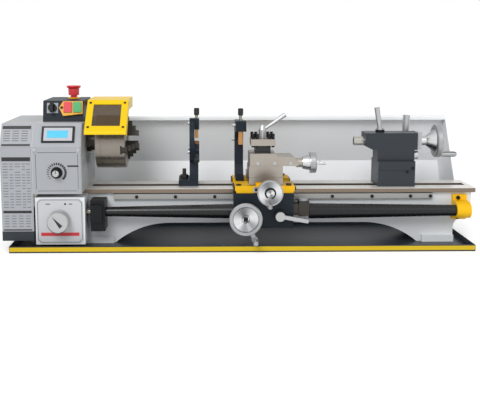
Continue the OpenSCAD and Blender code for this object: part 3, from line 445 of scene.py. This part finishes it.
class LATHE_OT_materials(bpy.types.Operator):
    """Makes the materials and puts one on every solid"""
    bl_idname = "lathe.materials"
    bl_label = "Materials"

    # Which solids wear each material
    worn = {
        "tray_powder_coat": ["chip_tray"],
        "bed_casting": ["bed"],
        "hammered_grey_enamel": ["headstock"],
        "pale_grey_enamel": ["gearbox"],
        "white_splash_paint": ["splash_guard"],
        "charcoal_enamel": ["control_box", "apron", "follow_rest", "steady_rest"],
        "cover_enamel": ["end_cover"],
        "tailstock_enamel": ["tailstock"],
        "rack_steel": ["rack"],
        "brushed_plate": ["front_panel", "thread_dial"],
        "amber_moulding": ["switch_housing"],
        "turned_steel": ["spindle_bearings", "chuck_body", "chuck_plate", "lead_screw", "idler_gear"],
        "bright_turned_steel": ["quill"],
        "black_oxide_steel": ["spindle", "chuck_jaw_1", "chuck_jaw_2", "chuck_jaw_3", "motor",
                              "gear_quadrant", "dial_block"],
        "belt_rubber": ["drive_belt"],
        "black_moulding": ["left_bracket", "selector_knob", "speed_knob"],
        "amber_enamel": ["right_bracket", "saddle"],
        "red_moulding": ["stop_button", "stop_mushroom"],
        "green_moulding": ["start_button"],
        "yellow_powder_coat": ["chuck_guard"],
        "smoked_polycarbonate": ["guard_window"],
        "blued_spring_strip": ["spring_cover_left", "spring_cover_right"],
        "polished_aluminium": ["feed_knob", "motor_pulley", "half_nut_lever", "lock_lever",
                               "bed_clamp_lever", "clamp_lever"],
        "carriage_wheel_metal": ["carriage_wheel"],
        "cross_wheel_metal": ["cross_wheel"],
        "top_wheel_metal": ["top_wheel"],
        "tail_wheel_metal": ["tail_wheel"],
        "cross_ground_steel": ["cross_slide"],
        "ground_steel": ["compound_base", "top_slide"],
        "tool_post_steel": ["tool_post"],
        "steady_finger_bronze": ["steady_finger_1", "steady_finger_2", "steady_finger_3"],
        "follow_finger_bronze": ["follow_finger_1"],
        "follow_back_bronze": ["follow_finger_2"],
    }

    def execute(self, context):
        colours = context.scene.lathe_colours
        grey, charcoal, steel = colours.grey[:], colours.charcoal[:], colours.steel[:]
        # Each speckled one: colour, share by which it varies, grain in mm, roughness, metallic,
        # relief in mm, and how far the grain is drawn out along x, y and z
        # Hammered enamel: light grey with a soft sheen and a dimpled skin
        speckled("hammered_grey_enamel", grey, 0.05, 2.2, 0.42, 0.0, 0.25)
        # The same enamel where it has a paler coat
        speckled("pale_grey_enamel", shade(grey, 1.5), 0.04, 2.2, 0.45, 0.0, 0.2)
        # Enamel over cast iron: satin charcoal, slightly uneven
        speckled("charcoal_enamel", charcoal, 0.10, 2.0, 0.46, 0.0, 0.22, sheen=0.2)
        # Powder coat: near black with a fine orange-peel skin that catches the white surround
        speckled("tray_powder_coat", linear("#202933"), 0.10, 1.2, 0.34, 0.0, 0.08)
        # Powder coat: even bright yellow with a dull gloss
        speckled("yellow_powder_coat", colours.yellow[:], 0.03, 1.2, 0.38, 0.0, 0.06, sheen=0.25)
        # Enamel over cast iron: warm yellow, slightly uneven
        speckled("amber_enamel", colours.amber[:], 0.05, 1.6, 0.4, 0.0, 0.14, sheen=0.25)
        # Plastic strip: flat mustard yellow
        speckled("strip_yellow", linear("#D0B21C"), 0.05, 1.5, 0.45, 0.0, 0.05, sheen=0.25)
        # Ground steel: warm grey, with fine streaks along the grinding, drawn coarser than they are
        speckled("ground_steel", steel, 0.10, 0.5, 0.33, 1.0, 0.02, (40, 1, 1))
        speckled("cross_ground_steel", steel, 0.10, 0.5, 0.33, 1.0, 0.02, (1, 40, 1))
        # Turned steel: fine rings about the spindle's axis, drawn coarser than they are
        speckled("turned_steel", linear("#8A847C"), 0.07, 0.5, 0.28, 1.0, 0.001, (1, 60, 60))
        # Polished turned steel: the same rings on a brighter surface
        speckled("bright_turned_steel", linear("#B2B0AB"), 0.06, 0.5, 0.26, 1.0, 0.001, (1, 60, 60))
        # Black oxide on steel: dark brownish grey, mottled
        speckled("black_oxide_steel", linear("#45423E"), 0.14, 0.8, 0.4, 1.0, 0.03)
        # Milled steel: plain mid grey with little shine
        speckled("rack_steel", linear("#A3A3A1"), 0.08, 0.8, 0.45, 0.3, 0.02)
        # Blackened screws: near black with an oily shine
        speckled("blackened_screws", linear("#1A1B1D"), 0.2, 0.7, 0.38, 0.6, 0.02)
        # Zinc plate: light bluish silver
        speckled("zinc_screws", linear("#B9BABC"), 0.10, 0.7, 0.3, 1.0, 0.02)
        # Polished cast aluminium: soft silver with faint turning marks, drawn coarser than they are
        speckled("polished_aluminium", linear("#B4B5B6"), 0.06, 0.6, 0.34, 1.0, 0.02, (6, 1, 6))
        # Anodised plate: dull silver, brushed lengthways, with the brushing drawn coarser than it is
        speckled("brushed_plate", linear("#A6A9AE"), 0.05, 0.4, 0.6, 0.15, 0.005, (50, 1, 1), sheen=0.25)
        # The same plate in a paler shade
        speckled("pale_plate", linear("#C6C8CB"), 0.04, 0.4, 0.6, 0.1, 0.005, (50, 1, 1), sheen=0.25)
        # Moulded ABS: black, finely textured, with little shine
        speckled("black_moulding", linear("#121417"), 0.12, 0.9, 0.4, 0.0, 0.05, sheen=0.2)
        # Printing ink: flat and matt
        speckled("printed_black", linear("#1B1D21"), 0.10, 2.0, 0.5, 0.0, 0.0)
        speckled("printed_grey", linear("#63676D"), 0.08, 2.0, 0.5, 0.0, 0.0)
        speckled("printed_red", linear("#C8323A"), 0.06, 2.0, 0.5, 0.0, 0.0)
        speckled("printed_pale", linear("#B9BBC0"), 0.03, 2.0, 0.5, 0.0, 0.0)
        # Moulded plastic: clear colours, smooth, the buttons with a glossy top coat
        speckled("amber_moulding", linear("#E8A91C"), 0.05, 1.5, 0.35, 0.0, 0.03)
        speckled("red_moulding", linear("#D71E2D"), 0.05, 1.5, 0.3, 0.0, 0.02, coat=0.3)
        speckled("green_moulding", linear("#28A055"), 0.05, 1.5, 0.3, 0.0, 0.02, coat=0.3)
        # Sheet metal paint: even off-white with a soft gloss
        speckled("white_splash_paint", linear("#F0F2F4"), 0.02, 1.4, 0.4, 0.0, 0.04)
        # Blued spring steel: black with a clear shine along the turns
        speckled("blued_spring_strip", linear("#0E0F12"), 0.2, 1.2, 0.26, 0.0, 0.004, (1, 12, 12),
                 sheen=0.4)
        # Rubber: black and matt
        speckled("belt_rubber", linear("#1B1B1C"), 0.15, 1.0, 0.7, 0.0, 0.1)
        # Display glass: lit in pale blue
        tree, where = new_material("lit_display")
        glow = add(tree, "Mix", {0: grain(tree, where, 3.0), 6: linear("#1C9CC4"), 7: linear("#2FB6DC")},
                   2, data_type="RGBA")
        surface(tree, glow, 0.25, 0.0, **{"Emission Color": glow, "Emission Strength": 0.25})
        # Polycarbonate: smoked brown with a clear shine
        tree, where = new_material("smoked_polycarbonate")
        haze = add(tree, "Mix", {0: grain(tree, where, 30.0), 6: linear("#3C2A10"), 7: linear("#574019")},
                   2, data_type="RGBA")
        surface(tree, haze, 0.12, 0.0, Alpha=0.8)
        bed_casting(grey)
        finger_bronze("steady_finger_bronze", 45, 62.3)
        finger_bronze("follow_finger_bronze", 35, 61.3)
        finger_bronze("follow_back_bronze", 47, 64.3)
        # The end cover has a charcoal foot, and the tailstock a grey end block
        two_enamels("cover_enamel", Z, COVER_FOOT_Z, charcoal, grey)
        two_enamels("tailstock_enamel", X, TAIL_BLOCK_X, charcoal, grey)
        tool_post_steel(steel)
        wheel_metal("carriage_wheel_metal", (CARRIAGE_WHEEL[0], 0, CARRIAGE_WHEEL[1]), 0, 29)
        wheel_metal("cross_wheel_metal", (CROSS_WHEEL[0], 0, CROSS_WHEEL[1]), 0, 26)
        wheel_metal("top_wheel_metal", (0, *TOP_WHEEL), 90, 23)
        wheel_metal("tail_wheel_metal", (0, 0, AXIS_Z), 90, 30)
        for material, nodes in self.worn.items():
            for name in nodes:
                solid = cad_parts[name]
                solid.data.materials.clear()
                solid.data.materials.append(MATERIALS[material])
        left = set(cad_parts) - {name for nodes in self.worn.values() for name in nodes}
        if left:
            raise RuntimeError("No material for " + ", ".join(sorted(left)))
        return {"FINISHED"}


class LATHE_OT_base_trim(bpy.types.Operator):
    """Adds the tray's strip, the screws of the rack and of the right bracket"""
    bl_idname = "lathe.base_trim"
    bl_label = "Base trim"

    def execute(self, context):
        sizes = context.scene.lathe_sizes
        head_r = sizes.screw_r / MM
        half, low, thick = 527, 3.5, 0.6
        high = low + sizes.strip_h / MM
        make_piece("tray_strip", [mark((TRAY_Y - thick, TRAY_Y), (-half, low), (half, high))],
                   "strip_yellow", "base")
        rack_x = (-246, -155, -63, 28, 120, 214, 308, 399, 446)
        rack_z = 111.5
        make_piece("rack_screws", [cap_screw((x, RACK_Y, rack_z), FORWARD, head_r, 2.2) for x in rack_x],
                   "blackened_screws", "base")
        flange_x = 511
        flange_z = (108, 61)
        bracket_r = head_r + 0.6
        make_piece("bracket_screws",
                   [cap_screw((flange_x, FLANGE_Y, z), FORWARD, bracket_r, 4) for z in flange_z],
                   "blackened_screws", "base")
        return {"FINISHED"}


class LATHE_OT_panels(bpy.types.Operator):
    """Adds the chart plate, the display, the panel scales and the gearbox plate"""
    bl_idname = "lathe.panels"
    bl_label = "Panels"

    def chart(self):
        """Chart plate over the end cover's front, in two flat halves, with its bars and rows."""
        left, right = -545, -477
        slope, gap, margin, thick = 57.5, 0.2, 2, 0.8
        ink_in, ink_out = 0.7, 1.0
        flat = (COVER_Y - ink_out, COVER_Y - ink_in)
        slanted = (-ink_out, -ink_in)
        make_piece("chart_plate",
                   [mark((COVER_Y - thick, COVER_Y), (left, COVER_FOOT_Z), (right, FOLD_Z - gap)),
                    mark((-thick, 0), (left, gap), (right, slope), ON_PANEL)],
                   "brushed_plate", "base")
        bars = [mark(slanted, (left + margin, low), (right - margin, high), ON_PANEL)
                for low, high in ((44, 52), (2, 7))]
        bars += [mark(flat, (left + margin, low), (right - margin, high))
                 for low, high in ((206, 215), (87, 93), (47, 50))]
        make_piece("chart_bars", bars, "printed_black", "base", smooth=False)
        # Three tables of short bars, the top one on the slanted half
        line_h, slanted_line_h = 1.5, 2
        rows = []
        first_z, step, count = 199, 6.2, 17
        for row in range(count):
            z = first_z - row * step
            for x, wide in ((-541, 11), (-526, 8), (-514, 12), (-498, 7), (-488, 8)):
                # Some places in this table stay empty
                if (row * 5 + x) % 7:
                    rows.append(mark(flat, (x, z), (x + wide, z + line_h)))
        first_z, step, count, wide = 80, 6, 5, 10
        for row in range(count):
            z = first_z - row * step
            rows += [mark(flat, (x, z), (x + wide, z + line_h)) for x in (-540, -524, -508, -492)]
        first_z, step, count, wide = 38, 6, 5, 15
        for row in range(count):
            z = first_z - row * step
            rows += [mark(slanted, (x, z), (x + wide, z + slanted_line_h), ON_PANEL)
                     for x in (-540, -520, -500)]
        make_piece("chart_print", rows, "printed_grey", "base", smooth=False)

    def display(self):
        """Speed display on the folded face: bezel, pale face and lit glass."""
        for name, depths, low, high, material, slot in (
                ("display_bezel", (-5, -2), (-454, 9), (-380, 49), "black_moulding", "black_plastic"),
                ("display_face", (-5.5, -4.8), (-449, 13), (-385, 45), "printed_pale", "panel_plate"),
                ("display_glass", (-6, -5.3), (-442, 20), (-395, 38), "lit_display", "panel_plate")):
            make_piece(name, [mark(depths, low, high, ON_PANEL)], material, "base")

    def speed(self):
        """Scale round the speed knob, a frame round that, the panel's screws and the knob's cap."""
        ink = (PANEL_Y - 0.3, PANEL_Y + 0.1)
        # Nineteen ticks that grow wider clockwise
        scale_r, half_long = 20, 2.6
        first, step, count = 220, 14.5, 19
        thinnest, growth = 0.5, 0.12
        scale = []
        for i in range(count):
            a = math.radians(first - i * step)
            half_wide = thinnest + i * growth
            x, z = SPEED_X + scale_r * math.cos(a), SPEED_Z + scale_r * math.sin(a)
            scale.append(mark(ink, (-half_long, -half_wide), (half_long, half_wide),
                              Matrix.Translation((x, 0, z)) @ Matrix.Rotation(-a, 4, "Y")))
        scale.append(mark(ink, (-396, 193), (-371, 196.5)))
        # Frame lines, open at the corners
        left, right, low, high = -467, -372, 138, 226
        line, corner = 0.8, 4
        scale += [mark(ink, (x, low + corner), (x + line, high - corner)) for x in (left, right - line)]
        scale += [mark(ink, (left + corner, z), (right - corner, z + line)) for z in (low, high - line)]
        make_piece("speed_scale", scale, "printed_black", "base", smooth=False)
        screw_x, screw_z = (-469.5, -371), 231
        make_piece("panel_screws", [cap_screw((x, PANEL_Y, screw_z), FORWARD, 4.2, 1.6) for x in screw_x],
                   "zinc_screws", "base")
        face = front_of("speed_knob")
        make_piece("speed_cap", [rod(7.4, (SPEED_X, face + 0.1, SPEED_Z), (SPEED_X, face - 1.1, SPEED_Z))],
                   "polished_aluminium", "speed_knob")
        half_wide, long = 0.7, 7
        make_piece("speed_mark", [mark((face - 1.4, face - 1.0), (SPEED_X - half_wide, SPEED_Z),
                                       (SPEED_X + half_wide, SPEED_Z + long))],
                   "printed_black", "speed_knob")

    def gearbox(self):
        """Gearbox plate with cut corners, its frame line, red bar, marks and the feed knob's arrow."""
        (left, low), (right, high) = (-469, 16), (-364, 119)
        cut, thick = 7, 1.2
        outline = [(left + cut, low), (right - cut, low), (right, low + cut), (right, high - cut),
                   (right - cut, high), (left + cut, high), (left, high - cut), (left, low + cut)]
        make_piece("gearbox_plate", [plate(outline, GEARBOX_Y - thick, GEARBOX_Y)], "pale_plate", "base")
        ink_in, ink_out, bar_out = GEARBOX_Y - 1.1, GEARBOX_Y - 1.45, GEARBOX_Y - 1.5
        inset, half_line = 2.5, 0.5
        centre_x, centre_z = (left + right) / 2, (low + high) / 2
        corners = [(x + math.copysign(inset, centre_x - x), z + math.copysign(inset, centre_z - z))
                   for x, z in outline]
        lines = []
        for (x0, z0), (x1, z1) in zip(corners, corners[1:] + corners[:1]):
            length = math.hypot(x1 - x0, z1 - z0)
            turn = Matrix.Rotation(-math.atan2(z1 - z0, x1 - x0), 4, "Y")
            lines.append(mark((ink_out, ink_in), (0, -half_line), (length, half_line),
                              Matrix.Translation((x0, 0, z0)) @ turn))
        # Two short bars and a dot along the top
        mark_z, half_high = 107, 1
        dot_x, dot_r = -404, 2.4
        lines += [mark((ink_out, ink_in), (x, mark_z - half_high), (x + wide, mark_z + half_high))
                  for x, wide in ((-448, 10), (-396, 8))]
        lines.append(rod(dot_r, (dot_x, GEARBOX_Y - 1.0, mark_z), (dot_x, ink_out, mark_z), 20, 0.1))
        make_piece("gearbox_print", lines, "printed_black", "base", smooth=False)
        make_piece("gearbox_bar", [mark((bar_out, ink_in), (-460, 33), (-373, 41))], "printed_red", "base")
        face = front_of("feed_knob")
        arrow = [(-4.5, -12), (4.5, -12), (0, 19)]
        turn = Matrix.Translation((FEED_X, 0, FEED_Z)) @ Matrix.Rotation(math.radians(-40), 4, "Y")
        make_piece("feed_arrow", [plate(arrow, face - 0.4, face + 0.1, turn)], "printed_black", "feed_knob")

    def execute(self, context):
        self.chart()
        self.display()
        self.speed()
        self.gearbox()
        return {"FINISHED"}


class LATHE_OT_controls(bpy.types.Operator):
    """Adds the control box's plate, collar and screw, and the guard's screws"""
    bl_idname = "lathe.controls"
    bl_label = "Controls"

    def execute(self, context):
        # Four bars leave a square hole for the selector knob's shaft
        x, z = SELECTOR_X, 32
        wide, high, hole, thick = 13, 12, 4.6, 1.4
        bars = [((x - wide, z + hole), (x + wide, z + high)), ((x - wide, z - high), (x + wide, z - hole)),
                ((x - wide, z - hole), (x - hole, z + hole)), ((x + hole, z - hole), (x + wide, z + hole))]
        make_piece("selector_plate", [mark((-thick, 0), low, high, ON_BOX) for low, high in bars],
                   "brushed_plate", "base", smooth=False)
        collar_h = 2
        make_piece("stop_collar",
                   [ring(15.5, 8.6, (STOP_X, STOP_Y, BOX_TOP_Z), (STOP_X, STOP_Y, BOX_TOP_Z + collar_h))],
                   "yellow_powder_coat", "base")
        x, z = -417, 32
        make_piece("housing_screw", [rod(3.2, (x, -7, z), (x, -8.4, z), 20, turn=ON_BOX)],
                   "blackened_screws", "base")
        head_h = 1.4
        heads = [rod(3, (x, -head_h, up), (x, 0, up), 24, turn=ON_GUARD) for x in (-349.5, -270.5)
                 for up in (15.5, 97)]
        make_piece("guard_screws", heads, "blackened_screws", "chuck_guard")
        return {"FINISHED"}


class LATHE_OT_carriage_trim(bpy.types.Operator):
    """Adds the bolts and screws of the saddle, slides and tool post, and the hand wheels' centres"""
    bl_idname = "lathe.carriage_trim"
    bl_label = "Carriage trim"

    def execute(self, context):
        head_r = context.scene.lathe_sizes.screw_r / MM
        left_x, right_x, front_y, back_y = -8, 108, -82, 66
        make_piece("saddle_bolts", [hex_bolt((right_x, front_y, SADDLE_Z), UP, 6.5, 5),
                                    hex_bolt((right_x, back_y, SADDLE_Z), UP, 6.5, 5),
                                    cap_screw((left_x, front_y, SADDLE_Z), UP, 6, 3)],
                   "black_oxide_steel", "carriage")
        thick, low, high = 3, 131.2, 140
        make_piece("saddle_wipers", [box((x, y0, low), (x + thick, y1, high)) for x in (-20, 121)
                                     for y0, y1 in ((-92, -30), (30, 74))],
                   "black_moulding", "carriage")
        gib_y, gib_z = front_of("top_slide"), 193
        make_piece("gib_screws", [cap_screw((x, gib_y, gib_z), FORWARD, head_r, 2) for x in (36, 75, 112)],
                   "zinc_screws", "top_slide")
        low, high = 229, 261
        make_piece("tool_screws", [rod(3.8, (x, y, low), (x, y, high), 6) for x in (26, 35, 63, 72)
                                   for y in (-67, -23)],
                   "blackened_screws", "tool_post")
        lock_y = SADDLE_Y - 2.5
        make_piece("saddle_lock", [box((25, lock_y, 128), (37, SADDLE_Y, 140.5))], "zinc_screws", "carriage")
        make_piece("lock_socket", [rod(3.2, (31, lock_y, 134), (31, lock_y - 0.8, 134), 20)],
                   "blackened_screws", "carriage")
        x, z = CROSS_WHEEL
        make_piece("cross_hub", [ring(13, 9.3, (x, -158.3, z), (x, -159.1, z))], "black_moulding",
                   "cross_wheel")
        x, z = CARRIAGE_WHEEL
        half = 5
        make_piece("wheel_centre", [mark((-134.6, -132.6), (x - half, z - half), (x + half, z + half))],
                   "black_moulding", "carriage_wheel")
        return {"FINISHED"}


class LATHE_OT_rest_trim(bpy.types.Operator):
    """Adds the rests' lock screws, the steady rest's clamp stud and the tailstock's screws"""
    bl_idname = "lathe.rest_trim"
    bl_label = "Rest trim"

    def execute(self, context):
        x, y, z = -135, 12, 145
        stud_h = 23
        make_piece("steady_stud", [rod(4.5, (x, y, z), (x, y, z + stud_h)), hex_bolt((x, y, z), UP, 9.5, 9)],
                   "black_oxide_steel", "steady_rest")
        # One lock screw for each finger, standing out on the left
        start, away, long = -118, 43, 8
        locks = []
        for degrees in (90, 210, 330):
            a = math.radians(degrees)
            y, z = away * math.cos(a), AXIS_Z + away * math.sin(a)
            locks.append(rod(4.2, (start, y, z), (start - long, y, z)))
        make_piece("steady_locks", locks, "zinc_screws", "steady_rest")
        start, long = -12, 7
        make_piece("follow_locks", [rod(4, (start, y, z), (start - long, y, z))
                                    for y, z in ((0, AXIS_Z + 38), (44, AXIS_Z))],
                   "zinc_screws", "carriage")
        face = front_of("tailstock")
        make_piece("tail_screws", [cap_screw((x, face, z), FORWARD, 3.5, 2)
                                   for x, z in ((394, 166), (407, 175))],
                   "blackened_screws", "tailstock")
        make_piece("lock_nut", [ring(11, 8.9, (335, 0, 257), (335, 0, 263))],
                   "blackened_screws", "tailstock")
        make_piece("set_over_screw", [rod(10, (413, -14, 203), (424, -14, 203))],
                   "zinc_screws", "tailstock")
        return {"FINISHED"}


class LATHE_OT_spiral_covers(bpy.types.Operator):
    """Makes the two telescopic spiral covers over the lead screw"""
    bl_idname = "lathe.spiral_covers"
    bl_label = "Spiral covers"

    def execute(self, context):
        turns = context.scene.lathe_sizes.cover_turns
        steps = 40
        total = turns * steps
        thick = 0.7
        for name, x0, x1, r0, r1, ends in (
                ("spiral_left", -315.5, -21.5, 11.2, 16.8, ("base", "carriage")),
                ("spiral_right", 155.5, 498.5, 17.8, 13.0, ("carriage", "base"))):
            # The first and last turns lie flat, as on a real spring, and close the ends
            wide = (x1 - x0) / (turns - 1)
            lean = math.copysign(0.35, r1 - r0) / 2
            section = ((0.0, -lean), (wide, lean), (wide, lean - thick), (0.0, -lean - thick))
            verts, faces = [], []
            for i in range(total + 1):
                a = 2 * math.pi * i / steps
                along = min(1.0, max(0.0, (i / steps - 1) / (turns - 2)))
                x = x0 + (x1 - x0 - wide) * along
                for dx, dr in section:
                    r = r0 + (r1 - r0) * along + dr
                    verts.append(Vector((x + dx, LEAD_Y + r * math.cos(a), LEAD_Z + r * math.sin(a))) * MM)
                for k in range(4 if i else 0):
                    n, m = 4 * i + k, 4 * i + (k + 1) % 4
                    faces.append((n - 4, m - 4, m, n))
            last = 4 * total
            faces += [(3, 2, 1, 0), (last, last + 1, last + 2, last + 3)]
            data = bpy.data.meshes.new(name)
            data.from_pydata(verts, [], faces)
            made = show(name, data, "blued_spring_strip", True)
            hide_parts(name.replace("spiral", "spring_cover"))
            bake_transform(made)
        return {"FINISHED"}


class LATHE_OT_stage(bpy.types.Operator):
    """Sets the floor, the lights, the white surround and the camera"""
    bl_idname = "lathe.stage"
    bl_label = "Stage"

    def floor(self):
        """Painted floor: nearly white, lit up a little where it is seen, and it keeps the shadow."""
        tree, where = new_material("pale_floor")
        tone = add(tree, "Mix", {0: grain(tree, where, 400.0), 6: linear("#F8F8F8"), 7: linear("#FCFCFC")},
                   2, data_type="RGBA")
        lift = add(tree, "Math", {0: seen_rays(tree), 1: FLOOR_GLOW}, operation="MULTIPLY")
        surface(tree, tone, 0.9, 0.0, **{"Emission Color": tone, "Emission Strength": lift})
        half = 30.0
        data = bpy.data.meshes.new("floor")
        data.from_pydata([(-half, -half, 0), (half, -half, 0), (half, half, 0), (-half, half, 0)], [],
                         [(0, 1, 2, 3)])
        floor = show("floor", data, "pale_floor", False)

    def surround(self, scene):
        """White where it is seen, and a softer light on the object."""
        world = bpy.data.worlds.new("white_studio")
        scene.world = world
        world.use_nodes = True
        tree = world.node_tree
        tree.nodes.clear()
        strength = add(tree, "Mix", {0: seen_rays(tree), 2: SURROUND_LIGHT, 3: SURROUND_SEEN})
        add(tree, "OutputWorld", {0: add(tree, "Background", {0: (1, 1, 1, 1), 1: strength})})

    def lamps(self, scene):
        """Two soft lamps in front, and a low sun with soft shadows; the sun only takes its direction."""
        for name, kind, power, soft, size, at, aim in (
                ("key", "AREA", 20, "size", 1.6, (-1.3, -2.2, 2.4), (0, 0, 0.15)),
                ("fill", "AREA", 10, "size", 2.0, (2.0, -2.0, 1.6), (0.1, 0, 0.15)),
                ("sun", "SUN", 1.05, "angle", math.radians(25), (0, 0, 0), (0.6, 2.0, -1.6))):
            lamp = bpy.data.lights.new(name, kind)
            lamp.energy = power
            setattr(lamp, soft, size)
            made = bpy.data.objects.new(name, lamp)
            made.location = at
            made.rotation_euler = (Vector(aim) - Vector(at)).to_track_quat("-Z", "Y").to_euler()
            scene.collection.objects.link(made)

    def camera(self, scene):
        """Camera at the photograph's viewing angle."""
        lens = bpy.data.cameras.new("camera")
        lens.lens = LENS
        lens.sensor_width = SENSOR
        lens.shift_x, lens.shift_y = LENS_SHIFT
        lens.clip_end = 100
        made = bpy.data.objects.new("camera", lens)
        made.location = CAMERA_AT
        made.rotation_euler = (math.radians(CAMERA_TILT), 0, math.radians(CAMERA_YAW))
        scene.collection.objects.link(made)
        scene.camera = made

    def execute(self, context):
        scene = context.scene
        scene.view_settings.view_transform = "Standard"
        self.floor()
        self.surround(scene)
        self.lamps(scene)
        self.camera(scene)
        return {"FINISHED"}


class LATHE_PT_panel(bpy.types.Panel):
    """Lists the lathe's operators and settings"""
    bl_idname = "LATHE_PT_panel"
    bl_label = "Bench lathe"
    bl_space_type = "VIEW_3D"
    bl_region_type = "UI"
    bl_category = "Lathe"

    def draw(self, context):
        for group in (context.scene.lathe_colours, context.scene.lathe_sizes):
            for key in group.__annotations__:
                self.layout.prop(group, key)
        for operator in OPERATORS:
            self.layout.operator(operator.bl_idname)


OPERATORS = (LATHE_OT_materials, LATHE_OT_base_trim, LATHE_OT_panels, LATHE_OT_controls,
             LATHE_OT_carriage_trim, LATHE_OT_rest_trim, LATHE_OT_spiral_covers, LATHE_OT_stage)
CLASSES = (LatheColours, LatheSizes, *OPERATORS, LATHE_PT_panel)


def register():
    for cls in CLASSES:
        bpy.utils.register_class(cls)
    bpy.types.Scene.lathe_colours = PointerProperty(type=LatheColours)
    bpy.types.Scene.lathe_sizes = PointerProperty(type=LatheSizes)


def unregister():
    del bpy.types.Scene.lathe_sizes
    del bpy.types.Scene.lathe_colours
    for cls in reversed(CLASSES):
        bpy.utils.unregister_class(cls)


def main():
    register()
    for operator in OPERATORS:
        group, name = operator.bl_idname.split(".")
        result = getattr(getattr(bpy.ops, group), name)()
        if result != {"FINISHED"}:
            raise RuntimeError(operator.bl_idname + " did not finish")


if __name__ == "__main__":
    main()
